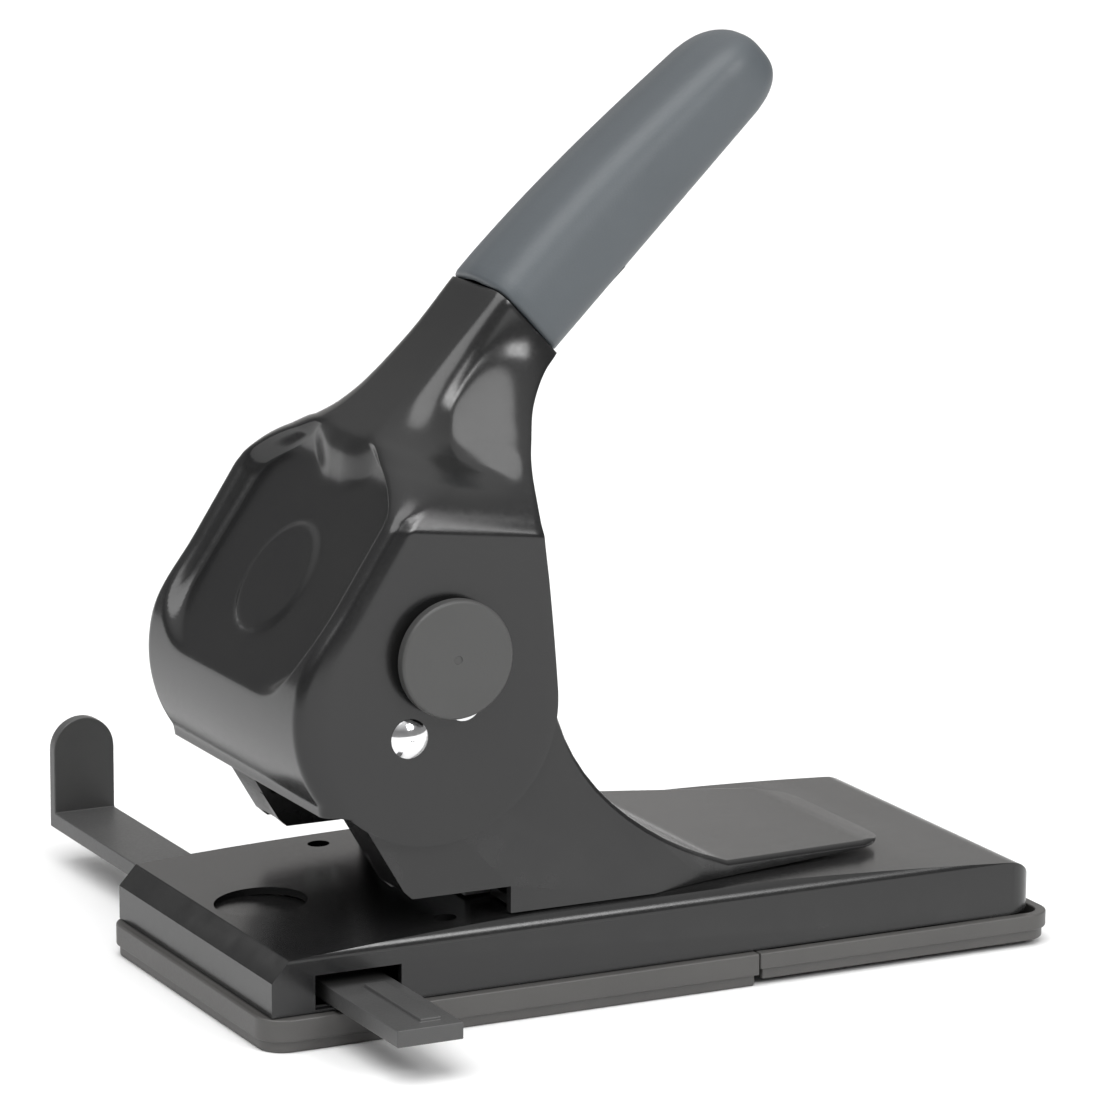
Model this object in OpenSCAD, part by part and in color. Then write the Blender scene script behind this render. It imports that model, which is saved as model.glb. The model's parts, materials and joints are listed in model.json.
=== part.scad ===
// Heavy-duty two-hole lever punch for an office desk.
// X runs from the paper inlet (-X) to the tail (+X), Y across the punch, Z up.
// The origin is the middle of the base plate's length and width, on the table.
// The lever stands at rest; pressing it turns it towards the tail and drives both punches down.

/* [Base plate] */
// Length of the pressed steel base plate
base_len = 230; // [215:1:280]
// How far the plate stands out beyond each frame cheek
plate_margin = 3.5; // [3:0.1:12]
// Height of the plate's lower edge above the table
plate_z = 9.3; // [9:0.1:12]
// Highest point of the bowed plate top above the table
plate_top = 27.6; // [26.5:0.1:33]
// Drop of the plate top from its highest point to its ends
plate_bow = 3.6; // [1:0.1:4.5]
// Sheet thickness of the base plate
plate_t = 2; // [1.5:0.1:2.5]
// Radius of the plate's two long top edges
plate_edge_r = 4.5; // [2.5:0.1:5]
// Radius of the plate's rear end
plate_rear_r = 10; // [6:0.5:12]
// Radius of the plate's two tail corners, seen from above
tail_corner_r = 9; // [5:0.5:10]
// Height of the upright band at the plate's front end
front_band = 9.2; // [6:0.1:10]
// Run of the sloped face above that band
front_run = 5; // [3:0.5:8]
// Diameter of the round hollow pressed into the plate's front
dimple_d = 25; // [20:1:32]
// Depth of that hollow
dimple_depth = 2; // [1:0.1:2.5]

/* [Tray and rear base] */
// How far the plastic rim stands out beyond the steel plate
rim = 2.6; // [2:0.1:4]
// How far the rear base stands out beyond the plate's tail
rear_rim = 4.4; // [2:0.1:6]
// Length of the chip tray
tray_len = 144; // [130:1:150]
// Thickness of the plastic floors
floor_t = 1.8; // [1.5:0.1:2.4]
// Thickness of the plastic side walls
wall_t = 5; // [4.6:0.1:6]
// Height of the rear base's underside above the table
rear_lift = 1.5; // [1:0.1:2.5]
// Diameter of the rubber feet
foot_d = 14; // [10:1:18]

/* [Punching] */
// Distance between the two holes
hole_pitch = 80; // [70:1:80]
// Distance from the plate's front end to the line of holes
hole_setback = 54.5; // [50:0.5:60]
// Diameter of the punches
punch_d = 5.5; // [5:0.1:6]
// Distance from the line of holes back to the paper stop
paper_depth = 12; // [10:0.5:12]
// Height of the paper slot above the plate's highest point
throat_h = 7.4; // [5:0.1:8]
// Gap between the punch tips at rest and the top of the paper slot
tip_rise = 3; // [1:0.1:4]

/* [Frame] */
// Width of the upright frame over its cheeks
frame_w = 95; // [95:1:112]
// Sheet thickness of the frame
frame_t = 2.5; // [2:0.1:2.5]
// Distance from a punch's axis in to the fold of the frame's front flange
flange_reach = 8; // [8:0.5:24]

/* [Lever] */
// Clear gap between each frame cheek and lever cheek
cheek_gap = 1; // [0.8:0.1:1.5]
// Sheet thickness of the lever
lever_t = 2.5; // [2:0.1:3]
// Radius of the lever's round hub
hub_r = 35.3; // [32:0.1:36]
// How far the web's face stands proud of the crease beside each cheek
web_proud = 3.4; // [2.6:0.1:4]
// Length of the plastic grip
grip_len = 101; // [80:1:130]
// Width of the grip at its lower end
grip_w = 36; // [32:1:42]
// Depth of the grip at its lower end
grip_d = 28; // [26:1:34]
// Width of the grip at its rounded tip
tip_w = 31; // [26:1:34]
// Depth of the grip at its rounded tip
tip_d = 22; // [18:1:26]
// Angle of the handle above the table at rest
handle_tilt = 42.5; // [40:0.5:45]
// Diameter of the plastic side caps
cap_d = 31.5; // [26:0.5:33]
// Height of the cap's face above the lever cheek
cap_proud = 5.5; // [4.5:0.1:7]

/* [Drive] */
// Diameter of the pivot pin
pivot_d = 8; // [6:0.5:8]
// Diameter of the drive pin
drive_d = 7; // [6:0.5:7]
// Forward distance from the line of holes to the pivot
pivot_back = 15.5; // [15:0.1:16]
// Height of the pivot above the table
pivot_z = 79; // [78:0.5:84]
// Height of the drive pin above the pivot at rest
drive_rise = 8; // [7.5:0.1:8.5]
// Angle that the lever turns
lever_turn = 55; // [45:1:55]
// Play of the drive pin in the crosshead slots, each side
drive_play = 0.25; // [0.2:0.05:0.4]
// Wire diameter of the return springs
spring_wire = 1.2; // [1:0.1:1.3]
// Outer diameter of the return springs
spring_d = 14; // [12:0.5:16]
// Number of turns in each return spring
spring_turns = 5; // [4:0.5:5]

/* [Paper guide] */
// Width of the paper guide's bar
guide_w = 18.5; // [16:0.5:20]
// Thickness of the paper guide's bar
guide_t = 4.6; // [3.5:0.1:4.6]
// Distance from the middle of the punch to the guide's stop face
guide_reach = 140; // [110:1:148]
// Distance from the middle of the punch to the guide's near end
guide_tab = 91; // [80:1:100]
// Height of the upturned stop above the bar
stop_h = 27.4; // [20:0.1:32]
// Distance from the line of holes forward to the guide's middle
guide_ahead = 28.5; // [27:0.5:30]

/* [Hidden] */
$fn = 64;
fit = 0.05;       // running fit, each side
gap = 0.3;        // clearance between pieces that move past each other
big = 400;        // longer than anything here
base_w = frame_w + 2 * plate_margin;
hole_x = hole_setback - base_len / 2;
front_x = -base_len / 2;
rear_x = base_len / 2;
bow_x = hole_x + 58;                       // where the plate top is highest
bow_half = max(bow_x - front_x - front_run, rear_x - plate_rear_r - bow_x);
punch_y = hole_pitch / 2;
throat_z = plate_top + throat_h;           // top of the paper slot
throat_back = paper_depth + 3.5;           // rear end of the slot, behind the holes
pivot_x = hole_x - pivot_back;
drive_r = sqrt(pow(pivot_back, 2) + pow(drive_rise, 2));
drive_angle = atan2(drive_rise, pivot_back);
travel = drive_r * (sin(drive_angle) - sin(drive_angle - lever_turn));
drive_x = hole_x;
drive_z = pivot_z + drive_rise;
tie_back = 4.2;                            // tie rod, ahead of the line of holes
tie_rise = 20.7;                           // and above the pivot
tie_x = hole_x - tie_back;
tie_z = pivot_z + tie_rise;
tie_d = 8;
hub_x = hole_x - 8;
hub_z = pivot_z + 6;
frame_in = frame_w / 2 - frame_t;          // inner face of a frame cheek
flange_w = frame_in - punch_y + flange_reach;
lever_in = frame_w / 2 + cheek_gap;        // inner face of a lever cheek
lever_out = lever_in + lever_t;
// guide block, springs and crosshead
block_z = throat_z + 10;
block_h = 6;
block_l = 22;
bush_d = 9;
spigot_x = 7;                              // block's side spigots, ahead of and behind the holes
spigot_y = frame_w / 2 - 0.6;
bar_h = 6;
head_h = 1.8;                              // punch stub and clip above the crosshead
bar_z = drive_z - drive_d / 2 - drive_play - bar_h - head_h - 0.6;
bar_l = 16;
spring_y = hole_pitch / 2 - 18;
spring_z0 = block_z + block_h;
lug_y = punch_y - 9;
lug_t = 3.5;
punch_tip = throat_z + tip_rise;
die_t = 4;
// paper guide
guide_z = plate_z + 1.1;
guide_x = hole_x - guide_ahead;
stop_t = 3.7;
guide_slot_x0 = guide_x - guide_w / 2 - 4.5;
saddle_t = 1.5;
// tray and rear base
tray_y = base_w / 2 + rim;
tray_x0 = front_x - rim;
tray_x1 = tray_x0 + tray_len;
tray_top = plate_z - gap;
runner_t = 1.4;
runner_z = 5.3;
runner_foot = 2;                           // how far a runner's foot turns outwards
runner_y = tray_y - wall_t - gap;
screw_x = rear_x - 28;
screw_y = 34;
// frame
frame_z = plate_top + 0.1;
tongue_x = hole_x + 84;                    // where the frame's back meets its tongue
tongue_end = hole_x + 140;
tongue_z = plate_top + 4.2;
frame_rivet_x = [hole_x + 26, hole_x + 52];
frame_rivet_y = frame_in - 8;
// handle
handle_x = hole_x + 36;                    // middle of the grip's lower end
handle_z = pivot_z + 99;
rivet_s = grip_len - 44;                   // rivet that holds the grip, along the handle
rivet_d = 3;
rivet_half = (grip_d + (tip_d - grip_d) * rivet_s / (grip_len - tip_d / 2)) / 2;

// ---- helpers -------------------------------------------------------------------------------

function plate_z_at(x) = plate_top - plate_bow * pow((x - bow_x) / bow_half, 2);
function bezier(a, b, c, n) =
    [for (i = [0 : n]) let (t = i / n) a * pow(1 - t, 2) + b * 2 * t * (1 - t) + c * pow(t, 2)];
function reversed(points) = [for (i = [len(points) - 1 : -1 : 0]) points[i]];

// a profile drawn in X and Z, as wide in Y as asked
module across(w) rotate([90, 0, 0]) linear_extrude(w, center = true) children();
// the same piece on both sides of the punch
module both_sides() for (s = [0, 1]) mirror([0, s, 0]) children();
module rod(x, z, d, y0, y1) translate([x, y1, z]) rotate([90, 0, 0]) cylinder(d = d, h = y1 - y0);
module dome(x, z, d, h, y) {
    // a low domed head whose flat side lies at y, standing out towards -Y
    r = (pow(d / 2, 2) + pow(h, 2)) / (2 * h);
    translate([x, y, z]) rotate([90, 0, 0]) rotate_extrude()
        intersection() {
            translate([0, h - r]) circle(r, $fn = 96);
            square([d, h]);
        }
}

// ---- base ----------------------------------------------------------------------------------

// side view of the plate; inset shrinks it by a sheet thickness
module plate_side(inset) {
    x0 = front_x + inset;
    x1 = rear_x - inset;
    r = plate_rear_r - inset;
    xr = x1 - r;
    zr = plate_z_at(rear_x - plate_rear_r) - inset;
    polygon(concat(
        [[x0, plate_z - (inset > 0 ? 5 : 0)], [x0, plate_z + front_band - inset * 0.5]],
        [for (i = [0 : 16]) let (x = x0 + front_run + (xr - x0 - front_run) * i / 16)
            [x, plate_z_at(x) - inset]],
        [for (a = [80 : -10 : 0]) [xr + r * cos(a), zr - r + r * sin(a)]],
        [[x1, plate_z - (inset > 0 ? 5 : 0)]]));
}
// cross section of the plate
module plate_section(inset) {
    w = base_w / 2 - inset;
    r = plate_edge_r - inset;
    translate([0, -5]) square([2 * w, 2 * (plate_top - inset - r + 5)], center = true);
    square([2 * (w - r), 2 * (plate_top - inset)], center = true);
    for (s = [-1, 1]) translate([s * (w - r), plate_top - inset - r]) circle(r);
}
// outline of the plate from above
module plate_plan(inset) {
    w = base_w / 2 - inset;
    r = tail_corner_r - inset;
    l = base_len - 2 * inset;
    translate([front_x + inset, -w]) square([l - r, 2 * w]);
    translate([front_x + inset, r - w]) square([l, 2 * (w - r)]);
    for (s = [-1, 1]) translate([rear_x - inset - r, s * (w - r)]) circle(r);
}
module plate_solid(inset) intersection() {
    linear_extrude(plate_top + 1) plate_plan(inset);
    across(base_w - 2 * inset) plate_side(inset);
    translate([front_x, 0, 0]) rotate([90, 0, 90]) linear_extrude(base_len) plate_section(inset);
}
module base_plate() color("#2b2c2c") {
    dimple_x = hole_x - 35;
    difference() {
        plate_solid(0);
        plate_solid(plate_t);
        both_sides() {
            translate([hole_x, punch_y, plate_top - 12]) cylinder(d = punch_d + 0.6, h = 20);
            translate([guide_slot_x0, base_w / 2 - plate_t - 6, guide_z - 0.4])
                cube([guide_w + 6, 20, guide_t + 4.6]);
        }
        translate([dimple_x, 0, plate_z_at(dimple_x) - dimple_depth]) cylinder(d = dimple_d, h = 10);
        for (x = frame_rivet_x) both_sides()
            translate([x, frame_rivet_y, plate_top - 12]) cylinder(d = 4 + 2 * fit, h = 20);
    }
    translate([dimple_x, 0, plate_z_at(dimple_x) - dimple_depth - 1.4])
        cylinder(d = dimple_d + 2, h = 1.4);
}

// a plan outline with rounded outer corners at one end
module tray_plan(x0, x1, inset, front) {
    r = 8 - inset;
    xr = front ? x0 + inset + r : x1 - inset - r;
    for (s = [-1, 1]) translate([xr, s * (tray_y - inset - r)]) circle(r);
    translate([front ? xr : x0 + inset, inset - tray_y])
        square([x1 - x0 - r - 2 * inset, 2 * (tray_y - inset)]);
    translate([x0 + inset, inset + r - tray_y]) square([x1 - x0 - 2 * inset, 2 * (tray_y - inset - r)]);
}
module chip_tray() color("#4b4a48") difference() {
    union() {
        translate([0, 0, 3]) linear_extrude(tray_top - 3) tray_plan(tray_x0, tray_x1, 0, true);
        linear_extrude(3) tray_plan(tray_x0, tray_x1, 1, true);
    }
    translate([0, 0, floor_t]) linear_extrude(20) tray_plan(tray_x0, tray_x1, wall_t, true);
    // grooves that ride on the runners, open at the tray's rear end
    both_sides() {
        translate([front_x + 8, runner_y - runner_t - gap, runner_z - gap])
            cube([big, runner_t + runner_foot + 2 * gap, runner_t + 2 * gap]);
        translate([tray_x1 - wall_t - 1, runner_y - runner_t - gap, runner_z - gap])
            cube([wall_t + 2, runner_t + 2 * gap, 20]);
    }
}
module rear_base() color("#464543") difference() {
    union() {
        translate([0, 0, 3 + rear_lift]) linear_extrude(tray_top - 3 - rear_lift)
            tray_plan(tray_x1 + gap, rear_x + rear_rim, 0, false);
        translate([0, 0, rear_lift]) linear_extrude(3) tray_plan(tray_x1 + gap, rear_x + rear_rim, 1, false);
    }
    difference() {
        translate([0, 0, floor_t + rear_lift]) linear_extrude(20)
            tray_plan(tray_x1 + gap, rear_x + rear_rim, wall_t - 2, false);
        both_sides() translate([screw_x, screw_y, 0]) cylinder(d = 12, h = 20);
    }
    both_sides() {
        translate([screw_x, screw_y, -1]) cylinder(d = 4.3, h = 20);
        translate([screw_x, screw_y, -1]) cylinder(d = 8.4, h = 1 + rear_lift + 2.6);
        translate([screw_x - 22, screw_y, -1]) cylinder(d = foot_d + 2 * fit, h = 1 + rear_lift + 1);
    }
}
module rubber_feet() color("#1b1b1b")
    both_sides() translate([screw_x - 22, screw_y, 0]) cylinder(d = foot_d, h = rear_lift + 1);
module rear_base_screws() color("#b9bcc0") both_sides() translate([screw_x, screw_y, rear_lift + 0.3])
    difference() {
        union() {
            cylinder(d = 8, h = 2.3);
            cylinder(d = 4, h = 13);
        }
        translate([-3, -0.5, -1]) cube([6, 1, 2]);
        translate([-0.5, -3, -1]) cube([1, 6, 2]);
    }
module screw_posts() color("#8d9196") both_sides() translate([screw_x, screw_y, tray_top])
    difference() {
        cylinder(d = 9, h = plate_z_at(screw_x + 4.5) - plate_t - tray_top - 0.05);
        translate([0, 0, -1]) cylinder(d = 4, h = 11);
    }
module tray_runners() color("#8d9196") both_sides() {
    run = tray_len - rim - 14;
    translate([front_x + 12, runner_y - runner_t, runner_z])
        cube([run, runner_t, guide_z - 0.5 - runner_z]);
    translate([front_x + 12, runner_y - runner_t, runner_z]) cube([run, runner_t + runner_foot, runner_t]);
    // tabs welded to the plate's side walls
    for (x = [front_x + 46, front_x + 12 + run - 14])
        translate([x, runner_y - runner_t, guide_z - 0.6])
            cube([14, base_w / 2 - plate_t - runner_y + runner_t, 8]);
}

// ---- frame ---------------------------------------------------------------------------------

// outline of a frame cheek, with the window for the drive pin and tie rod open at its top
module cheek_side() difference() {
    union() {
        polygon(concat(
            [[tongue_end, frame_z], [hole_x + throat_back, frame_z], [hole_x + throat_back, throat_z],
             [hole_x - 13, throat_z], [hole_x - 15.4, throat_z + 2.2],
             [hole_x - 29, throat_z + 25], [pivot_x - 11, pivot_z]],
            [[pivot_x + 11, pivot_z], [hole_x + 28, pivot_z + 5]],
            bezier([hole_x + 28, pivot_z + 5], [hole_x + 35, pivot_z - 29], [tongue_x, tongue_z], 12),
            [[tongue_end - 9, plate_z_at(tongue_end - 9) + 3.6], [tongue_end, frame_z + 0.6]]));
        translate([pivot_x, pivot_z]) circle(11);
    }
    translate([hole_x - 4.4, pivot_z - 13]) square([18, big]);
}
// the hollow between the cheeks
module cheek_hollow() polygon(concat(
    [[front_x - 20, -5], [front_x - 20, pivot_z + 40], [hole_x + 28 - frame_t, pivot_z + 40]],
    bezier([hole_x + 28 - frame_t, pivot_z + 5], [hole_x + 35 - frame_t, pivot_z - 30],
        [tongue_x - 1, tongue_z - frame_t], 12),
    [[tongue_end - 11, plate_z_at(tongue_end - 9) + 1.6], [tongue_end - 11, -5]]));
// plan of the frame: full width at the cheeks, narrowing along the tongue
module frame_plan(inset) {
    w = frame_w / 2 - inset;
    polygon([[front_x - 20, -w], [hole_x + 58, -w], [hole_x + 76, -w + 5], [tongue_end - 9, -w + 15.5],
        [tongue_end, -w + 21.5], [tongue_end, w - 21.5], [tongue_end - 9, w - 15.5],
        [hole_x + 76, w - 5], [hole_x + 58, w], [front_x - 20, w]]);
}
module frame() color("#262727") difference() {
    union() {
        difference() {
            intersection() {
                across(frame_w) cheek_side();
                linear_extrude(big) frame_plan(0);
            }
            intersection() {
                across(frame_w) cheek_hollow();
                translate([0, 0, -10]) linear_extrude(big) frame_plan(frame_t);
            }
        }
        // front flanges, turned inwards along the sloped front edges
        both_sides() translate([0, frame_in - flange_w / 2 + 0.5, 0]) across(flange_w + 1) polygon([
            [hole_x - 15.4, throat_z + 2.2], [hole_x - 29, throat_z + 25],
            [hole_x - 29 + frame_t, throat_z + 25], [hole_x - 15.4 + frame_t, throat_z + 2.2]]);
        // the flanges' inner edges, folded back under the guide block
        both_sides() translate([0, frame_in - flange_w + frame_t / 2, 0]) across(frame_t) polygon([
            [hole_x - 15.4, throat_z + 2.2], [hole_x - 13, throat_z], [hole_x + 3, throat_z],
            [hole_x + 3, block_z - gap], [hole_x - 20, block_z - gap]]);
        // feet, turned inwards on top of the plate
        both_sides() translate([hole_x + throat_back + 3, frame_in - 16, frame_z])
            cube([46, 16.5, frame_t]);
    }
    rod(pivot_x, pivot_z, pivot_d + 2 * fit, -big, big);
    for (x = frame_rivet_x) both_sides()
        translate([x, frame_rivet_y, plate_z]) cylinder(d = 4 + 2 * fit, h = 30);
    // blind seats for the block's spigots, behind a plain outer face
    for (dx = [-spigot_x, spigot_x])
        rod(hole_x + dx, block_z + block_h / 2, 4 + 2 * fit, -spigot_y - fit, spigot_y + fit);
}
module frame_rivets() color("#a9acb0") for (x = frame_rivet_x) both_sides()
    translate([x, frame_rivet_y, 0]) {
        translate([0, 0, plate_z_at(x) - plate_t - 1.6]) cylinder(d = 7, h = 1.4);
        translate([0, 0, plate_z_at(x) - plate_t - 0.3])
            cylinder(d = 4, h = frame_z + frame_t - plate_z_at(x) + plate_t + 0.5);
        translate([0, 0, frame_z + frame_t + 0.05]) cylinder(d = 7, h = 1.4);
    }
module die_rings() color("#9da1a6") both_sides()
    translate([hole_x, punch_y, plate_z_at(hole_x - 5) - plate_t - 0.1 - die_t])
        difference() {
            cylinder(d = 11, h = die_t);
            translate([0, 0, -1]) cylinder(d = punch_d + 0.15, h = die_t + 2);
        }
module guide_block() color("#2b2c2c") difference() {
    union() {
        translate([hole_x - block_l / 2, -frame_in, block_z]) cube([block_l, 2 * frame_in, block_h]);
        both_sides() translate([hole_x, spring_y, spring_z0 - 0.1])
            cylinder(d = spring_d - 2 * spring_wire - 0.8, h = 2.6);
    }
    both_sides() translate([hole_x, punch_y, 0]) cylinder(d = bush_d, h = big);
    for (dx = [-spigot_x, spigot_x]) rod(hole_x + dx, block_z + block_h / 2, 4, -big, big);
}
module block_rivets() color("#2b2c2c") for (dx = [-spigot_x, spigot_x]) both_sides()
    rod(hole_x + dx, block_z + block_h / 2, 4, frame_in - 9, spigot_y);
module punch_bushes() color("#55585b") both_sides() translate([hole_x, punch_y, throat_z + 1])
    difference() {
        cylinder(d = bush_d, h = spring_z0 - throat_z);
        translate([0, 0, -1]) cylinder(d = punch_d + 2 * fit, h = big);
    }
module paper_stop() color("#8d9196") {
    x = hole_x + paper_depth;
    translate([x, -frame_in + 18, plate_top + 0.05]) cube([1.5, 2 * frame_in - 36, throat_h]);
    translate([x, -frame_in + 18, plate_top + 0.05]) cube([10, 2 * frame_in - 36, 1.5]);
}
module pivot_pin() color("#d7d9dc") {
    rod(pivot_x, pivot_z, pivot_d, -lever_out - 0.15, lever_out + 0.3);
    dome(pivot_x, pivot_z, pivot_d + 2.4, 1.8, -lever_out - 0.1);
    rod(pivot_x, pivot_z, 5, lever_out, lever_out + 1.2);
}
module pivot_end_cap() color("#d7d9dc") mirror([0, 1, 0]) difference() {
    dome(pivot_x, pivot_z, pivot_d + 2.4, 2.2, -lever_out - 0.32);
    rod(pivot_x, pivot_z, 5 + 2 * fit, -lever_out - 1.3, 0);
}
module pivot_washers() color("#c8c4b8") both_sides()
    difference() {
        rod(pivot_x, pivot_z, 18, frame_w / 2 + 0.1, lever_in - 0.1);
        rod(pivot_x, pivot_z, pivot_d + 2 * fit, 0, big);
    }

// ---- paper guide ---------------------------------------------------------------------------

module guide_saddle() color("#3a3b3b") {
    w = guide_w + 2 * gap;
    h = guide_t + 2 * gap;
    for (s = [-1, 1]) translate([guide_x, s * 26, guide_z - gap]) difference() {
        translate([-w / 2 - saddle_t, -6, -saddle_t + 0.8])
            cube([w + 2 * saddle_t, 12, h + 2 * saddle_t - 0.8]);
        translate([-w / 2, -10, 0]) cube([w, 20, h]);
    }
    for (s = [-1, 1], t = [-1, 1])
        translate([guide_x + t * (w / 2 + saddle_t / 2) - saddle_t / 2, s * 26 - 6, guide_z + guide_t])
            cube([saddle_t, 12, plate_z_at(guide_x - w / 2 - 2) - plate_t - guide_z - guide_t - 0.1]);
}
module guide_bar() color("#4f4f4d") {
    x0 = guide_x - guide_w / 2;
    difference() {
        translate([x0, -guide_tab, guide_z]) cube([guide_w, guide_tab + guide_reach + stop_t, guide_t]);
        translate([x0 + 2.5, -guide_tab + 4, guide_z - 1]) cube([2, 34, 2]);
    }
    // raised finger rib on the near tab
    translate([guide_x - 1, -guide_tab + 4, guide_z + guide_t - 0.1]) cube([6, 34, 1.1]);
    // upturned stop with a round top
    translate([0, guide_reach, 0]) {
        translate([x0, 0, guide_z]) cube([guide_w, stop_t, guide_t + stop_h - guide_w / 2]);
        translate([guide_x, stop_t, guide_z + guide_t + stop_h - guide_w / 2])
            rotate([90, 0, 0]) cylinder(d = guide_w, h = stop_t);
    }
}
module guide_spring() color("#a9acb0") {
    z0 = guide_z + guide_t + 0.15;
    z1 = plate_z_at(guide_x) - plate_t - dimple_depth - 1;
    translate([guide_x - 4, 8, z0]) cube([8, 8, 0.6]);
    translate([guide_x - 4, 7.4, z0]) cube([8, 0.6, z1 - z0]);
    translate([guide_x - 4, -10, z1 - 0.6]) cube([8, 18, 0.6]);
}

// ---- punch train ---------------------------------------------------------------------------

module crosshead() color("#7f8388") difference() {
    union() {
        translate([hole_x - bar_l / 2, -frame_in + 0.8, bar_z]) cube([bar_l, 2 * frame_in - 1.6, bar_h]);
        both_sides() translate([hole_x - 6, lug_y - lug_t, bar_z])
            cube([14, lug_t, drive_z + drive_d / 2 + drive_play + 1.8 - bar_z]);
        both_sides() translate([hole_x, spring_y, bar_z - 2])
            cylinder(d = spring_d - 2 * spring_wire - 0.8, h = 2.5);
    }
    both_sides() translate([hole_x, punch_y, 0]) cylinder(d = punch_d - 1 + 2 * fit, h = big);
    // slots in which the drive pin slides fore and aft
    for (dx = [-0.6, 2.4]) rod(drive_x + dx, drive_z, drive_d + 2 * drive_play, -lug_y - 1, lug_y + 1);
    translate([drive_x - 0.6, -lug_y - 1, drive_z - drive_d / 2 - drive_play])
        cube([3, 2 * lug_y + 2, drive_d + 2 * drive_play]);
}
module punches() color("#c9ccd0") both_sides() translate([hole_x, punch_y, 0]) difference() {
    union() {
        translate([0, 0, punch_tip]) cylinder(d = punch_d, h = bar_z - punch_tip);
        translate([0, 0, bar_z - 0.1]) cylinder(d = punch_d - 1, h = bar_h + head_h + 0.1);
    }
    translate([0, 0, bar_z + bar_h + 0.1]) difference() {
        cylinder(d = punch_d, h = 0.9);
        translate([0, 0, -1]) cylinder(d = punch_d - 2, h = 3);
    }
}
module punch_clips() color("#3b3d40") both_sides() translate([hole_x, punch_y, bar_z + bar_h + 0.15])
    difference() {
        cylinder(d = 8.4, h = 0.8);
        translate([0, 0, -1]) cylinder(d = punch_d - 1.9, h = 3);
        translate([-0.9, -6, -1]) cube([1.8, 6, 3]);
    }
// helical compression spring: rings of points along the helix, swept into one closed tube
module coil(d, wire, turns, h) {
    steps = 18;
    sides = 6;
    n = turns * steps;
    r = (d - wire) / 2;
    lift = h - wire;
    pts = [for (i = [0 : n], j = [0 : sides - 1])
        let (a = 360 * i / steps, b = 360 * j / sides, q = r + wire / 2 * cos(b))
        [q * cos(a), q * sin(a), wire / 2 + lift * i / n + wire / 2 * sin(b)]];
    skin = [for (i = [0 : n - 1], j = [0 : sides - 1]) let (k = (j + 1) % sides)
        [i * sides + j, i * sides + k, (i + 1) * sides + k, (i + 1) * sides + j]];
    polyhedron(pts, concat(skin, [[for (j = [sides - 1 : -1 : 0]) j]],
        [[for (j = [0 : sides - 1]) n * sides + j]]));
}
module return_springs() color("#a9acb0") both_sides()
    translate([hole_x, spring_y, spring_z0 + 0.1])
        coil(spring_d, spring_wire, spring_turns, bar_z - spring_z0 - 0.2);

// ---- lever ---------------------------------------------------------------------------------

// front line of the lever in side view, from the lip under the hub up to the neck
function web_line(d) = concat(
    [for (a = [-142 : -13 : -194]) [hub_x + (hub_r - d) * cos(a), hub_z + (hub_r - d) * sin(a)]],
    [[hole_x - 13.2 + d * 0.84, pivot_z + 58.5 - d * 0.54], [hole_x - 3 + d * 0.8, pivot_z + 71 - d * 0.6]]);
module lever_cheek() {
    translate([hub_x, hub_z]) circle(hub_r, $fn = 128);
    polygon(concat(web_line(-web_proud), [[hole_x + 15.5, pivot_z + 71], [hole_x + 19.9, pivot_z + 59.5],
        [hole_x + 22.8, pivot_z + 51.6], [hole_x + 26.2, pivot_z + 20.7], [hole_x + 27.3, pivot_z + 6]]));
}
module along_handle(s) translate([handle_x, 0, handle_z]) rotate([0, 90 - handle_tilt, 0])
    translate([0, 0, s]) children();
// a rounded rectangle, d deep and w wide, as a thin slice
module slice(d, w, r) linear_extrude(0.5) for (sx = [-1, 1], sy = [-1, 1])
    translate([sx * (d / 2 - r), sy * (w / 2 - r)]) circle(r, $fn = 32);
// the neck narrows from the hub's full width to the handle; its underside is open
module neck(inset) hull() {
    open = inset > 0 ? 6 : 0;
    along_handle(-1.2 - inset) translate([(inset + open) / 2, 0, 0])
        slice(grip_d - 4 - inset + open, grip_w - 3 - 2 * inset, 6 - inset);
    translate([hole_x - 14.5 - 1.2 * web_proud + inset * 1.2, -lever_out + inset, pivot_z + 56 - open / 6])
        cube([34.5 + 1.2 * web_proud + open, 2 * (lever_out - inset), 1.5]);
}
// the steel channel inside the grip
module handle_core(inset) hull() {
    open = inset > 0 ? 6 : 0;
    for (k = [0, 1]) along_handle(k * (grip_len - 32) - (k == 0 ? 1.5 : inset))
        translate([(inset + open) / 2, 0, 0])
            slice((k == 0 ? grip_d : tip_d) - 7 - inset + open, (k == 0 ? grip_w : tip_w) - 7 - 2 * inset, 2.6);
}
module lever_shell() color("#2a2b2b") {
    difference() {
        union() {
            both_sides() translate([0, (lever_in + lever_out) / 2, 0]) across(lever_t)
                intersection() {
                    lever_cheek();
                    translate([front_x - big, 0]) square([2 * big, pivot_z + 57.5]);
                }
            across(2 * lever_out - 0.5) intersection() {
                polygon(concat(web_line(-web_proud), reversed(web_line(lever_t - web_proud))));
                translate([front_x - big, 0]) square([2 * big, pivot_z + 57.5]);
            }
        }
        rod(pivot_x, pivot_z, pivot_d + 2 * fit, -big, big);
        rod(drive_x, drive_z, drive_d, -big, big);
        rod(tie_x, tie_z, tie_d, -big, big);
    }
    difference() {
        neck(0);
        neck(lever_t);
    }
    difference() {
        handle_core(0);
        handle_core(lever_t);
        along_handle(rivet_s) rotate([0, 90, 0]) cylinder(d = rivet_d + 2 * fit, h = big, center = true);
    }
}
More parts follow.
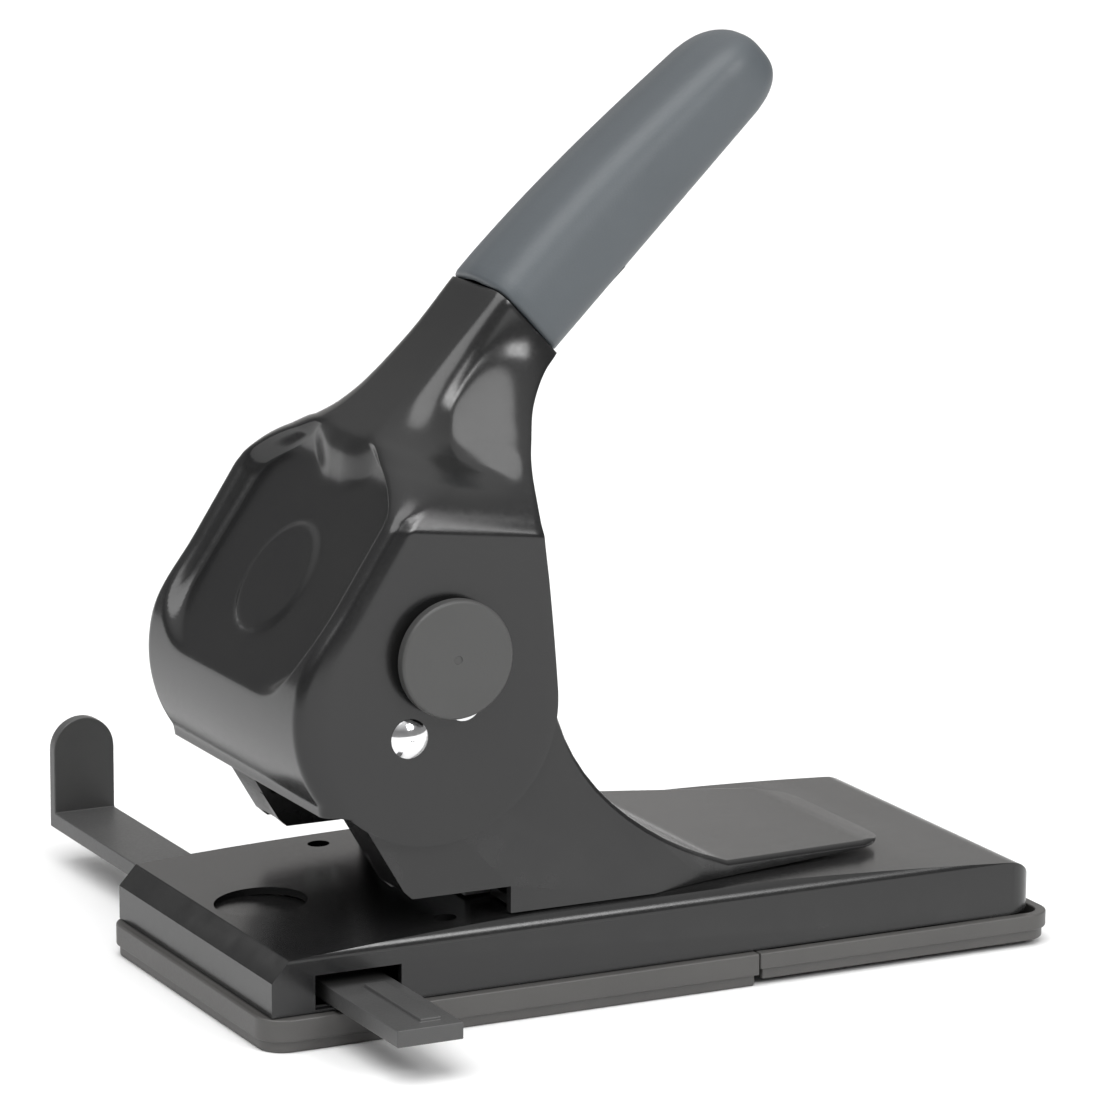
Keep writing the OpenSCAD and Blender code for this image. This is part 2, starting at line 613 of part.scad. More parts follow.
module grip() color("#585d61") difference() {
    hull() {
        along_handle(0) slice(grip_d, grip_w, 9);
        along_handle(grip_len - tip_w / 2) slice(tip_d, tip_w, 9);
        for (s = [-1, 1]) along_handle(grip_len - tip_d / 2)
            translate([0, s * (tip_w / 2 - tip_d / 2 - 1), 0]) sphere(d = tip_d, $fn = 32);
    }
    hull() {
        along_handle(-1) slice(grip_d - 7 + 2 * gap, grip_w - 7 + 2 * gap, 2.6 + gap);
        along_handle(grip_len - 31) slice(tip_d - 7 + 2 * gap, tip_w - 7 + 2 * gap, 2.6 + gap);
    }
    along_handle(rivet_s) rotate([0, 90, 0]) cylinder(d = rivet_d + 2 * fit, h = big);
}
module grip_rivet() color("#585d61") along_handle(rivet_s) rotate([0, 90, 0])
    translate([0, 0, 3.5 + gap - rivet_half]) cylinder(d = rivet_d, h = 2 * rivet_half - 4);
module cap() {
    // plug in the tie rod's collar, a set-back neck and the wide round face
    rod(tie_x, tie_z, cap_d - 14, -lever_out - 2.4, -lever_out - 0.3);
    translate([tie_x, -lever_out - 2.3, tie_z]) rotate([90, 0, 0]) rotate_extrude() difference() {
        union() {
            square([cap_d / 2 - 1, cap_proud - 2.3]);
            square([cap_d / 2, cap_proud - 3.3]);
            translate([cap_d / 2 - 1, cap_proud - 3.3]) circle(1);
        }
        translate([0, cap_proud - 2.6]) square([1.1, 2]);
        translate([-2, 0]) square([2, 20]);
    }
}
module cap_near() color("#525250") difference() {
    cap();
    rod(tie_x, tie_z, 13.2, -lever_out - 3.2, 0);
}
module cap_far() color("#525250") mirror([0, 1, 0]) cap_near();
module tie_rod() color("#8d9196") {
    rod(tie_x, tie_z, tie_d, -lever_out, lever_out);
    both_sides() rod(tie_x, tie_z, 5, lever_out - 0.1, lever_out + 2.6);
}
module tie_nuts() color("#8d9196") both_sides() translate([tie_x, lever_out + 2.5, tie_z])
    rotate([90, 0, 0]) difference() {
        cylinder(d = 12.6, h = 2.4, $fn = 6);
        translate([0, 0, -1]) cylinder(d = 5, h = 6);
    }
module drive_pin() color("#d7d9dc") {
    rod(drive_x, drive_z, drive_d, -lever_out - 0.15, lever_out + 0.2);
    dome(drive_x, drive_z, drive_d + 2.8, 1.4, -lever_out - 0.1);
    rod(drive_x, drive_z, 4, lever_out, lever_out + 0.9);
}
module drive_end_cap() color("#d7d9dc") mirror([0, 1, 0]) difference() {
    dome(drive_x, drive_z, drive_d + 2.8, 1.6, -lever_out - 0.22);
    rod(drive_x, drive_z, 4 + 2 * fit, -lever_out - 1, 0);
}

base_plate();
chip_tray();
rear_base();
rubber_feet();
rear_base_screws();
screw_posts();
tray_runners();
frame();
frame_rivets();
die_rings();
guide_block();
block_rivets();
punch_bushes();
paper_stop();
pivot_pin();
pivot_end_cap();
pivot_washers();
guide_saddle();
guide_bar();
guide_spring();
crosshead();
punches();
punch_clips();
return_springs();
lever_shell();
grip();
grip_rivet();
cap_near();
cap_far();
tie_rod();
tie_nuts();
drive_pin();
drive_end_cap();
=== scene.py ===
import json
import math

import bmesh
import bpy
from mathutils import Matrix, Vector


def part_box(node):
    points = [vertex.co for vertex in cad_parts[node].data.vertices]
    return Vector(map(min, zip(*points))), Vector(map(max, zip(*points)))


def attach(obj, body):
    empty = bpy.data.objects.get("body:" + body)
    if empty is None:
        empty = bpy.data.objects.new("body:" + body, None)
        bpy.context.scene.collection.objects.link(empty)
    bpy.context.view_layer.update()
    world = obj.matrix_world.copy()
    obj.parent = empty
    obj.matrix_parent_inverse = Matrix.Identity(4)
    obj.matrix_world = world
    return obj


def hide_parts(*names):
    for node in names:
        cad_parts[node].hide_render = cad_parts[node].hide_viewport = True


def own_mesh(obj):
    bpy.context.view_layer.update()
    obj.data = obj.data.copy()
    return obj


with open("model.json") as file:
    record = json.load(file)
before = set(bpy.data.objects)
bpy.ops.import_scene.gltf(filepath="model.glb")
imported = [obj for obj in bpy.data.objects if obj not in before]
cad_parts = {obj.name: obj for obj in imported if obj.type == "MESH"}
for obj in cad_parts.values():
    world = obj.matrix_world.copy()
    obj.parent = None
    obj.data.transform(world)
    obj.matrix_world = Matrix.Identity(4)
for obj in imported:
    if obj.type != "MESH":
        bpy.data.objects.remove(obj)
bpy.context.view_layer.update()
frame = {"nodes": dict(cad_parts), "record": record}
scene = bpy.context.scene

# ---- measures ------------------------------------------------------------------------------
# Side-view sizes are in millimetres: x from the line of the two holes, z from the table.
MM = 0.001
HOLE_LINE = sum(corner.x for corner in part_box("punches")) / 2 / MM
LEVER_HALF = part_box("lever_shell")[1].y / MM       # outer face of a lever cheek
PLATE_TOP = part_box("base_plate")[1].z / MM
HUB = Vector((-8.0, 85.0))                         # centre of the lever's round hub
CHEEK_R = 35.3                                     # radius of the hub's cheeks
DRUM_R = 38.6                                      # radius of the rolled front between them
WEB_TILT = math.radians(57.1)                      # slope of the flat web above the drum
WEB_ALONG = Vector((math.cos(WEB_TILT), math.sin(WEB_TILT)))
WEB_OUT = Vector((-math.sin(WEB_TILT), math.cos(WEB_TILT)))
WEB_TOP = Vector((-16.8, 139.8))                   # upper end of the web's flat face
HANDLE_TILT = math.radians(42.5)
HANDLE_ALONG = Vector((math.cos(HANDLE_TILT), math.sin(HANDLE_TILT)))
HANDLE_OUT = Vector((-math.sin(HANDLE_TILT), math.cos(HANDLE_TILT)))
HANDLE_START = Vector((36.0, 178.0))               # middle of the grip's lower end
SHEET = 2.5                                        # thickness of the lever's steel


def at(x, y, z):
    """A point given in millimetres from the line of holes, in metres in the row frame."""
    return Vector((HOLE_LINE + x, y, z)) * MM


def clamp(value):
    return max(0.0, min(1.0, value))


def smooth(value):
    """A smooth step from 0 to 1."""
    value = clamp(value)
    return value * value * (3 - 2 * value)


def mix(a, b, t):
    return a + (b - a) * t


def through(keys, place):
    """The value at a place, in straight steps between (place, value) keys."""
    if place <= keys[0][0]:
        return keys[0][1]
    for (p0, v0), (p1, v1) in zip(keys, keys[1:]):
        if place <= p1:
            return mix(v0, v1, (place - p0) / (p1 - p0))
    return keys[-1][1]


def spline(keys, place):
    """A smooth monotone curve through (place, value) keys."""
    if place <= keys[0][0]:
        return keys[0][1]
    if place >= keys[-1][0]:
        return keys[-1][1]
    slopes = [(v1 - v0) / (p1 - p0) for (p0, v0), (p1, v1) in zip(keys, keys[1:])]
    tangents = [slopes[0]]
    for a, b in zip(slopes, slopes[1:]):
        tangents.append(0.0 if a * b <= 0 else 2 * a * b / (a + b))
    tangents.append(slopes[-1])
    for i, ((p0, v0), (p1, v1)) in enumerate(zip(keys, keys[1:])):
        if place <= p1:
            w = p1 - p0
            t = (place - p0) / w
            return (v0 * (1 + 2 * t) * (1 - t) ** 2 + tangents[i] * w * t * (1 - t) ** 2
                    + v1 * t * t * (3 - 2 * t) + tangents[i + 1] * w * t * t * (t - 1))


# ---- finishes ------------------------------------------------------------------------------

MIX_SHARE, MIX_FIRST, MIX_SECOND, MIX_RESULT = 0, 6, 7, 2    # a Mix node's colour sockets
EDGES = (0.53, 0.62)           # pointiness over which an edge starts to show wear
WEAR_SCALE = 140.0             # size of the worn patches along an edge, as a noise scale
RIPPLE_SCALE = 110.0           # and of the slow ripple of the paint
GRAIN_ROUGH = 0.06             # how much rougher the fine grain makes a finish


def noise(tree, coords, scale, detail=3.0, rough=0.5):
    node = tree.nodes.new("ShaderNodeTexNoise")
    node.inputs["Scale"].default_value = scale
    node.inputs["Detail"].default_value = detail
    node.inputs["Roughness"].default_value = rough
    tree.links.new(coords, node.inputs["Vector"])
    return node.outputs["Fac"]


def remap(tree, source, low, high, start=0.3, end=0.7):
    node = tree.nodes.new("ShaderNodeMapRange")
    node.inputs["From Min"].default_value = start
    node.inputs["From Max"].default_value = end
    node.inputs["To Min"].default_value = low
    node.inputs["To Max"].default_value = high
    tree.links.new(source, node.inputs["Value"])
    return node.outputs["Result"]


def ramp(tree, source, stops):
    node = tree.nodes.new("ShaderNodeValToRGB")
    elements = node.color_ramp.elements
    for i, (place, colour) in enumerate(stops):
        element = elements[i] if i < 2 else elements.new(place)
        element.position = place
        element.color = (*colour, 1.0)
    tree.links.new(source, node.inputs["Fac"])
    return node.outputs["Color"]


def bump(tree, source, height, strength, normal=None):
    node = tree.nodes.new("ShaderNodeBump")
    node.inputs["Strength"].default_value = strength
    node.inputs["Distance"].default_value = height
    tree.links.new(source, node.inputs["Height"])
    if normal is not None:
        tree.links.new(normal, node.inputs["Normal"])
    return node.outputs["Normal"]


def mix_colours(tree, share, first, second):
    """A colour socket mixed with a plain colour, which takes over as the share rises."""
    node = tree.nodes.new("ShaderNodeMix")
    node.data_type = "RGBA"
    node.inputs[MIX_SECOND].default_value = (*second, 1.0)
    tree.links.new(share, node.inputs[MIX_SHARE])
    tree.links.new(first, node.inputs[MIX_FIRST])
    return node.outputs[MIX_RESULT]


def maths(tree, operation, first, second):
    node = tree.nodes.new("ShaderNodeMath")
    node.operation = operation
    tree.links.new(first, node.inputs[0])
    tree.links.new(second, node.inputs[1])
    return node.outputs[0]


def finish(name, tones, rough, metallic=0.0, drift=25.0, grain=900.0, grain_height=0.00002,
           ripple=0.0, stretch=(1.0, 1.0, 1.0), edge=None):
    """A finish: colour drifting between two tones, fine grain in the roughness and the bump,
    an optional slow ripple such as paint has, and a lighter tone on worn edges."""
    material = bpy.data.materials.new(name)
    material.use_nodes = True
    tree = material.node_tree
    shader = tree.nodes["Principled BSDF"]
    shader.inputs["Metallic"].default_value = metallic
    place = tree.nodes.new("ShaderNodeTexCoord").outputs["Object"]
    mapping = tree.nodes.new("ShaderNodeMapping")
    mapping.inputs["Scale"].default_value = stretch
    tree.links.new(place, mapping.inputs["Vector"])
    coords = mapping.outputs["Vector"]
    slow = noise(tree, coords, drift, 4.0, 0.6)
    fine = noise(tree, coords, grain, 2.0)
    colour = ramp(tree, slow, [(0.3, tones[0]), (0.7, tones[1])])
    if edge is not None:
        pointed = tree.nodes.new("ShaderNodeNewGeometry").outputs["Pointiness"]
        patches = remap(tree, noise(tree, coords, WEAR_SCALE), 0.2, 1.0)
        worn = maths(tree, "MULTIPLY", remap(tree, pointed, 0.0, 1.0, *EDGES), patches)
        colour = mix_colours(tree, worn, colour, edge)
    tree.links.new(colour, shader.inputs["Base Color"])
    scuffs = maths(tree, "ADD", remap(tree, slow, 0.0, rough[1] - rough[0]),
                   remap(tree, fine, rough[0], rough[0] + GRAIN_ROUGH))
    tree.links.new(scuffs, shader.inputs["Roughness"])
    normal = bump(tree, fine, grain_height, 0.5)
    if ripple:
        normal = bump(tree, noise(tree, coords, RIPPLE_SCALE, 1.0), ripple, 0.6, normal)
    tree.links.new(normal, shader.inputs["Normal"])
    return material


def grey(level):
    return (level, level, level)


FINISHES = {
    "black_paint": finish("black_paint", [(0.0085, 0.0085, 0.009), (0.011, 0.011, 0.0108)],
                          (0.17, 0.21), ripple=0.000006, grain_height=0.000002,
                          edge=(0.03, 0.03, 0.03)),
    "dark_plastic": finish("dark_plastic", [(0.062, 0.06, 0.058), (0.074, 0.072, 0.069)],
                           (0.38, 0.46), grain=1500.0, grain_height=0.00004),
    "guide_plastic": finish("guide_plastic", [(0.058, 0.058, 0.058), (0.07, 0.07, 0.069)],
                            (0.36, 0.46), grain=1500.0, grain_height=0.00004),
    "grip_plastic": finish("grip_plastic", [(0.068, 0.078, 0.086), (0.078, 0.089, 0.098)],
                           (0.4, 0.47), grain=1900.0, grain_height=0.00006),
    "cap_plastic": finish("cap_plastic", [(0.05, 0.05, 0.049), (0.058, 0.058, 0.057)],
                          (0.42, 0.5), grain=1700.0, grain_height=0.00005),
    "rubber": finish("rubber", [grey(0.012), grey(0.02)], (0.7, 0.85), grain=700.0,
                     grain_height=0.00008),
    "zinc": finish("zinc", [(0.52, 0.53, 0.54), (0.66, 0.66, 0.65)], (0.3, 0.42), metallic=1.0,
                   drift=90.0),
    "raw_steel": finish("raw_steel", [(0.3, 0.31, 0.32), (0.42, 0.42, 0.42)], (0.32, 0.46),
                        metallic=1.0, stretch=(1.0, 0.15, 1.0), grain_height=0.00004),
    "hard_steel": finish("hard_steel", [(0.5, 0.51, 0.52), (0.6, 0.6, 0.6)], (0.16, 0.24),
                         metallic=1.0, stretch=(1.0, 1.0, 0.1)),
    "spring_steel": finish("spring_steel", [(0.4, 0.41, 0.42), (0.5, 0.5, 0.5)], (0.24, 0.34),
                           metallic=1.0),
    "dark_steel": finish("dark_steel", [(0.1, 0.104, 0.11), (0.14, 0.145, 0.15)], (0.3, 0.42),
                         metallic=1.0),
    "chrome": finish("chrome", [(0.78, 0.78, 0.79), (0.86, 0.86, 0.86)], (0.05, 0.1),
                     metallic=1.0, grain_height=0.000004),
    "washer_plastic": finish("washer_plastic", [(0.5, 0.48, 0.43), (0.58, 0.56, 0.5)],
                             (0.4, 0.5)),
}
NODE_SLOT = {part["node"]: part["material_slot"] for part in frame["record"]["subparts"]}
NODE_BODY = {node: body for body, nodes in frame["record"]["behaviour"]["bodies"].items()
             for node in nodes}


# ---- building pieces -----------------------------------------------------------------------

SAME_POINT = 0.000002                    # CAD points nearer than this, in metres, are one
FLAT_ANGLE = math.radians(0.6)           # CAD triangles that turn less than this are one face
SHARP_ANGLE = math.radians(18.0)


def add_mesh(name, verts, faces, material):
    mesh = bpy.data.meshes.new(name)
    mesh.from_pydata([tuple(v) for v in verts], [], faces)
    mesh.validate()
    piece = bpy.data.objects.new(name, mesh)
    scene.collection.objects.link(piece)
    mesh.materials.append(material)
    return piece


def grid_faces(rows, columns):
    return [(r * columns + c, r * columns + c + 1, (r + 1) * columns + c + 1, (r + 1) * columns + c)
            for r in range(rows - 1) for c in range(columns - 1)]


def apply_modifiers(piece):
    graph = bpy.context.evaluated_depsgraph_get()
    mesh = bpy.data.meshes.new_from_object(piece.evaluated_get(graph))
    piece.modifiers.clear()
    piece.data = mesh


def settle(piece, angle=35.0):
    """Applies a piece's modifiers and shades it smooth, except at edges sharper than angle."""
    apply_modifiers(piece)
    piece.data.shade_smooth()
    piece.data.set_sharp_from_angle(angle=math.radians(angle))


def flatten(piece):
    """Keeps a piece's large faces flat in the light, so that only its rounded edges turn."""
    modifier = piece.modifiers.new("flat faces", "WEIGHTED_NORMAL")
    modifier.keep_sharp = True
    apply_modifiers(piece)


def bevel(piece, width, segments=2, angle=30.0):
    modifier = piece.modifiers.new("ease", "BEVEL")
    modifier.width = width * MM
    modifier.segments = segments
    modifier.limit_method = "ANGLE"
    modifier.angle_limit = math.radians(angle)
    modifier.miter_outer = "MITER_ARC"
    modifier.harden_normals = False


def stand_for(piece, node):
    """The piece stands for this CAD node: it rides on its body, and the node itself is hidden."""
    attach(piece, NODE_BODY[node])
    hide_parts(node)


def clean_copy(node):
    """A CAD node's mesh, with the triangles of each flat face joined."""
    work = bmesh.new()
    work.from_mesh(frame["nodes"][node].data)
    bmesh.ops.remove_doubles(work, verts=work.verts, dist=SAME_POINT)
    bmesh.ops.dissolve_limit(work, angle_limit=FLAT_ANGLE, verts=work.verts, edges=work.edges)
    return work


def break_edges(work, node, name, width, segments):
    """Makes the piece for a node from its cleaned copy, with all sharp edges broken."""
    mesh = bpy.data.meshes.new(name)
    work.to_mesh(mesh)
    work.free()
    mesh.materials.append(FINISHES[NODE_SLOT[node]])
    piece = bpy.data.objects.new(name, mesh)
    scene.collection.objects.link(piece)
    bevel(piece, width, segments)
    settle(piece)
    flatten(piece)
    stand_for(piece, node)


def eased(node, width=0.35, segments=2):
    """A copy of a CAD node with its sharp edges broken."""
    break_edges(clean_copy(node), node, node + "_eased", width, segments)


def round_edges(work, chosen, width, segments):
    """Rounds those sharp edges of a copy whose ends and middle are all chosen."""
    sharp = [edge for edge in work.edges if len(edge.link_faces) == 2
             and edge.calc_face_angle(0.0) > SHARP_ANGLE
             and chosen((edge.verts[0].co + edge.verts[1].co) / 2 / MM)
             and all(chosen(vert.co / MM) for vert in edge.verts)]
    bmesh.ops.bevel(work, geom=sharp, offset=width * MM, segments=segments, profile=0.5,
                    affect="EDGES", clamp_overlap=False)


# ---- lever: its front in side view ---------------------------------------------------------
# Stations run down the lever's front: s is the distance in mm below the web's upper end.

CROWDING = 1.15                # rows and columns lie closer together at their first end
CORE_STATIONS = (34.0, 20.0, 8.0, 0.3)    # how far up inside the grip the core's rows lie
CORE_OUT = 10.3                # the core's front face, from the handle's middle line
CORE_S = -66.0                 # station of the core's lower end
NECK_OUT = 12.2                # the neck's head, from the handle's middle line
NECK_BELOW = 0.6               # and below the grip's lower end
NECK_SAG = 1.1                 # hollow of the neck's front half way up
NECK_S = -12.0                 # where the neck leaves the plane of the web
NECK_STEPS = 36
FLAT_END = 30.0                # where the flat web starts to bend into the drum
FLAT_STEPS = 50
DRUM_START = math.radians(166.0)
BEND_STEPS = 18
LIP = math.radians(214.5)
DRUM_STEPS = 30
LIP_TURN = math.radians(4.2)   # the drum's lower edge, flared out over this arc
LIP_FLARE = 1.3
LIP_STEPS = 5


def on_circle(radius, angle):
    return HUB + radius * Vector((math.cos(angle), math.sin(angle)))


def on_handle(along, out):
    """A point in side view: along the handle from the grip's lower end, and out in front."""
    return HANDLE_START + HANDLE_ALONG * along + HANDLE_OUT * out


def bend(a, d):
    """The curve from the flat web into the drum, along the web at a and round the hub at d."""
    handle = (d - a).length / 3
    b = a - WEB_ALONG * handle
    c = d + Vector((math.sin(DRUM_START), -math.cos(DRUM_START))) * handle
    steps = [i / BEND_STEPS for i in range(1, BEND_STEPS + 1)]
    return [a * (1 - t) ** 3 + b * 3 * t * (1 - t) ** 2 + c * 3 * t * t * (1 - t) + d * t ** 3
            for t in steps]


def extend(line, points):
    """Adds points to a line of (s, point), each at its own distance along."""
    s, last = line[-1]
    for point in points:
        s += (point - last).length
        last = point
        line.append((s, point))


def front_line():
    """The lever's front in side view, from inside the grip down to the lip: (s, point)."""
    line = [(CORE_S - along, on_handle(along, CORE_OUT)) for along in CORE_STATIONS]
    foot = WEB_TOP - WEB_ALONG * NECK_S
    head = on_handle(-NECK_BELOW, NECK_OUT)
    length = (head - foot).length
    for i in range(NECK_STEPS + 1):
        t = 1 - i / NECK_STEPS
        sag = NECK_SAG * math.sin(math.pi * t)
        line.append((NECK_S - length * t, mix(foot, head, t) - HANDLE_OUT * sag))
    for i in range(1, FLAT_STEPS + 1):
        s = mix(NECK_S, FLAT_END, (i / FLAT_STEPS) ** CROWDING)
        line.append((s, WEB_TOP - WEB_ALONG * s))
    extend(line, bend(line[-1][1], on_circle(DRUM_R, DRUM_START)))
    extend(line, [on_circle(DRUM_R, mix(DRUM_START, LIP, i / DRUM_STEPS))
                  for i in range(1, DRUM_STEPS + 1)])
    flare = [i / LIP_STEPS for i in range(1, LIP_STEPS + 1)]
    extend(line, [on_circle(DRUM_R + LIP_FLARE * t ** 1.5, LIP + LIP_TURN * t) for t in flare])
    return line


# ---- lever: what is pressed into its web ---------------------------------------------------

# boxes with round corners: (middle s, half length, half width, corner radius)
NECK_BOX = (-60.0, 62.5, 21.0, 18.0)
NECK_SLOPE = 15.0              # width of the slope round the neck's foot
NECK_DOME = 0.8                # below 1, the neck's foot is fuller than a plain slope
NECK_RISE = 0.06               # how much the neck's foot rises for each mm down the web
PANEL_BOX = (16.0, 46.0, 46.0, 25.0)
PANEL_SLOPE = 4.6
PANEL_TOP = (-15.0, 14.0)      # the panel fades in below this station, over this length
PANEL_SIDE = 6.0               # and fades out over this width beside the rounded corners
PANEL_DEPTH = 4.0              # depth of the panel, at its boss
PANEL_LEAN = 0.03              # how much deeper the panel gets for each mm upwards
BOSS_S = 30.0                  # the low round boss in the panel
BOSS_R = 16.8
BOSS_SLOPE = 1.4
BOSS_HEIGHT = 0.8


def inside(box, s, y):
    """How far a point of the web lies inside a box with round corners; negative outside."""
    middle, half_x, half_y, radius = box
    qx = abs(s - middle) - half_x + radius
    qy = abs(y) - half_y + radius
    outside = math.hypot(max(qx, 0.0), max(qy, 0.0))
    return radius - outside - min(max(qx, qy), 0.0)


def relief(s, y, drop, flat):
    """Height of the web's pressed features above its plain face: the leaning flat panel, the
    low round boss in it and the rounded foot of the neck. drop is how far the face has bent
    back, and flat is half the width of its flat part."""
    if s <= NECK_S - 2:
        return 0.0
    neck = smooth(inside(NECK_BOX, s, y) / NECK_SLOPE) ** NECK_DOME
    panel = smooth(inside(PANEL_BOX, s, y) / PANEL_SLOPE)
    panel *= smooth((s - PANEL_TOP[0]) / PANEL_TOP[1])
    panel *= smooth((flat - abs(y)) / PANEL_SIDE)
    depth = max(PANEL_DEPTH + PANEL_LEAN * (BOSS_S - s) - drop, 0.0)
    boss = smooth((BOSS_R - math.hypot(s - BOSS_S, y)) / BOSS_SLOPE) * BOSS_HEIGHT
    raised = max(0.0, NECK_RISE * (s - NECK_S))
    return mix(boss - depth * panel, raised, neck)


# ---- lever: its sheet ----------------------------------------------------------------------

# half width of the lever's front, and the radius of its corners, by station
SHOULDER = [(-66, 16.4), (-50, 16.6), (-40, 17.6), (-30, 19.6), (-21, 24.4), (-14, 32.0),
            (-10, 38.5), (-6, 44.2), (-2, 47.4), (2, 49.3), (7, LEVER_HALF)]
CORNER = [(-62, 5.0), (-48, 6.0), (-38, 7.0), (-30, 8.5), (-21, 12.0), (-13.5, 16.0),
          (-8, 15.0), (-2, 9.0), (4, 3.8), (8, 3.3)]
# the sheet's rear edge: (s, x, height, half width)
REAR_EDGE = [(-102, 67.0, 191.6, 12.6), (-74, 46.5, 172.6, 13.0), (-66.4, 44.2, 170.0, 16.3),
             (-52, 37.9, 165.1, 20.8), (-38, 31.2, 157.6, 27.8), (-26, 26.8, 150.2, 35.6),
             (-20, 24.6, 146.0, 40.0), (-14, 23.6, 141.8, 43.2), (-6, 23.1, 136.5, 46.6),
             (1, 22.8, 131.8, 49.4), (7, 23.1, 128.0, LEVER_HALF),
             (24, 24.5, 116.6, LEVER_HALF), (34, 25.3, 109.0, LEVER_HALF),
             (46, 26.2, 99.7, LEVER_HALF), (62, 27.3, 86.5, LEVER_HALF)]
REAR_X, REAR_Z, REAR_HALF = ([(key[0], key[i]) for key in REAR_EDGE] for i in (1, 2, 3))
ROUND_BELOW = REAR_EDGE[-1][2] # below this height the rear edge is the hub's own circle
CORE_FRONT = (13.6, 13.0)      # half width of the core's front, low in the grip and above
CORE_CHANGE = -90.0            # station between the two
CORE_REAR = 13.3
CORE_CORNER = 3.0
FRONT_COLUMNS = 110
CORNER_STEPS = 6
WALL_STEPS = 18
LEAST_CORNER = 0.6
CREASE = 0.75                  # step between the rounded corner and the cheek
CREASE_START = (1.0, 5.0)      # it grows below this station, over this length
CREASE_BAND = (0.5, 0.9)       # it starts this far past the corner and is this wide
SPREAD_END = (12.0, 26.0)      # the neck's sides spread in an S above this station, over this length
WEB_REACH = 37.1               # from the hub's middle out to the plane of the web
LOWER_ROWS = 24                # rows of each cheek below the lip
CHEEK_END = math.radians(-88.0)


def lever_sections():
    """Rows of (s, front point, rear point, front half width, rear half width, corner radius)."""
    rows = []
    for s, front in front_line():
        if s < CORE_S - 0.2:
            rear = Vector((through(REAR_X, s), through(REAR_Z, s)))
            rows.append((s, front, rear, CORE_FRONT[s <= CORE_CHANGE], CORE_REAR, CORE_CORNER))
            continue
        if front.y > ROUND_BELOW:
            rear = Vector((spline(REAR_X, s), spline(REAR_Z, s)))
            half = min(spline(REAR_HALF, s), LEVER_HALF)
        else:
            reach = math.sqrt(CHEEK_R ** 2 - (front.y - HUB.y) ** 2)
            rear = Vector((HUB.x + reach, front.y))
            half = LEVER_HALF
        wide = min(spline(SHOULDER, s), LEVER_HALF)
        rows.append((s, front, rear, wide, half, through(CORNER, s)))
    return rows


def side_points(row, inset):
    """One side of a row, from its rear edge to its rounded front corner, as (half width, depth),
    and the half width of the flat part between the corners."""
    s, front, rear, wide, rear_half, radius = row
    depth = (rear - front).length
    wide -= inset
    radius = max(radius - inset, LEAST_CORNER)
    creased = CREASE * smooth((s - CREASE_START[0]) / CREASE_START[1])
    side = []
    for i in range(WALL_STEPS, 0, -1):
        t = i / WALL_STEPS
        d = mix(radius + inset, depth, t ** CROWDING)
        spread = mix(t, smooth(t), smooth((SPREAD_END[0] - s) / SPREAD_END[1]))
        past = smooth((d - radius - inset - CREASE_BAND[0]) / CREASE_BAND[1])
        side.append((mix(wide, rear_half - inset, spread) - creased * (1 - past), d))
    for i in range(CORNER_STEPS + 1):
        a = math.radians(90 * i / CORNER_STEPS)
        side.append((wide - creased - radius * (1 - math.cos(a)),
                     inset + radius * (1 - math.sin(a))))
    return side, wide - creased - radius


def section_points(row, outward, inset):
    """One row of points, from the near cheek's rear edge over the front to the far cheek's.
    The inner face of the sheet is the same row, set in by the sheet's thickness."""
    s, front, rear = row[:3]
    inward = (rear - front).normalized()
    drop = (HUB + WEB_OUT * WEB_REACH - front).dot(WEB_OUT) if s > FLAT_END else 0.0
    side, flat = side_points(row, inset)
    points = [(-y, d, 0.0) for y, d in side]
    for i in range(1, FRONT_COLUMNS):
        y = flat * (2 * i / FRONT_COLUMNS - 1)
        points.append((y, inset, relief(s, y, drop, flat)))
    points += [(y, d, 0.0) for y, d in reversed(side)]
    places = [(front + inward * d + outward * e, y) for y, d, e in points]
    return [at(p.x, y, p.y) for p, y in places]


def cheek_points(height, side, inset):
    """One row across a cheek's round lower end, at a height below the lip."""
    reach = math.sqrt(max(CHEEK_R ** 2 - (height - HUB.y) ** 2, 0.0))
    spans = [(i / WALL_STEPS) ** CROWDING for i in range(WALL_STEPS, -1, -1)]
    return [at(HUB.x - reach + 2 * reach * t, side * (LEVER_HALF - inset), height) for t in spans]


def thicken(outer, inner, faces):
    """Joins two layers of points with the same faces into one closed sheet."""
    count = len(outer)
    edges = {(a, b) for face in faces for a, b in zip(face, face[1:] + face[:1])}
    rims = [(b, a, a + count, b + count) for a, b in sorted(edges) if (b, a) not in edges]
    return outer + inner, faces + [tuple(v + count for v in face[::-1]) for face in faces] + rims


def lever_layer(rows, inset):
    """All points of one face of the lever's sheet: the web's rows, then both lower cheeks'."""
    points = []
    for i, row in enumerate(rows):
        ahead = rows[max(i - 1, 0)][1] - rows[min(i + 1, len(rows) - 1)][1]
        outward = Vector((-ahead.y, ahead.x)).normalized()
        points += section_points(row, outward, inset)
    start = math.asin((rows[-1][1].y - HUB.y) / CHEEK_R)
    for side in (-1, 1):
        for i in range(1, LOWER_ROWS + 1):
            angle = mix(start, CHEEK_END, i / LOWER_ROWS)
            points += cheek_points(HUB.y + CHEEK_R * math.sin(angle), side, inset)
    return points


def lever_faces(count):
    """Quads over the rows, and on below the lip over the cheeks alone."""
    columns = 2 * (WALL_STEPS + CORNER_STEPS + 1) + FRONT_COLUMNS - 1
    faces = grid_faces(count, columns)
    across = WALL_STEPS + 1
    last = (count - 1) * columns
    for side in (0, 1):
        base = count * columns + side * LOWER_ROWS * across
        above = [last + (columns - 1 - c if side else c) for c in range(across)]
        for r in range(LOWER_ROWS):
            below = [base + r * across + c for c in range(across)]
            for c in range(across - 1):
                face = (above[c], above[c + 1], below[c + 1], below[c])
                faces.append(face[::-1] if side else face)
            above = below
    return faces


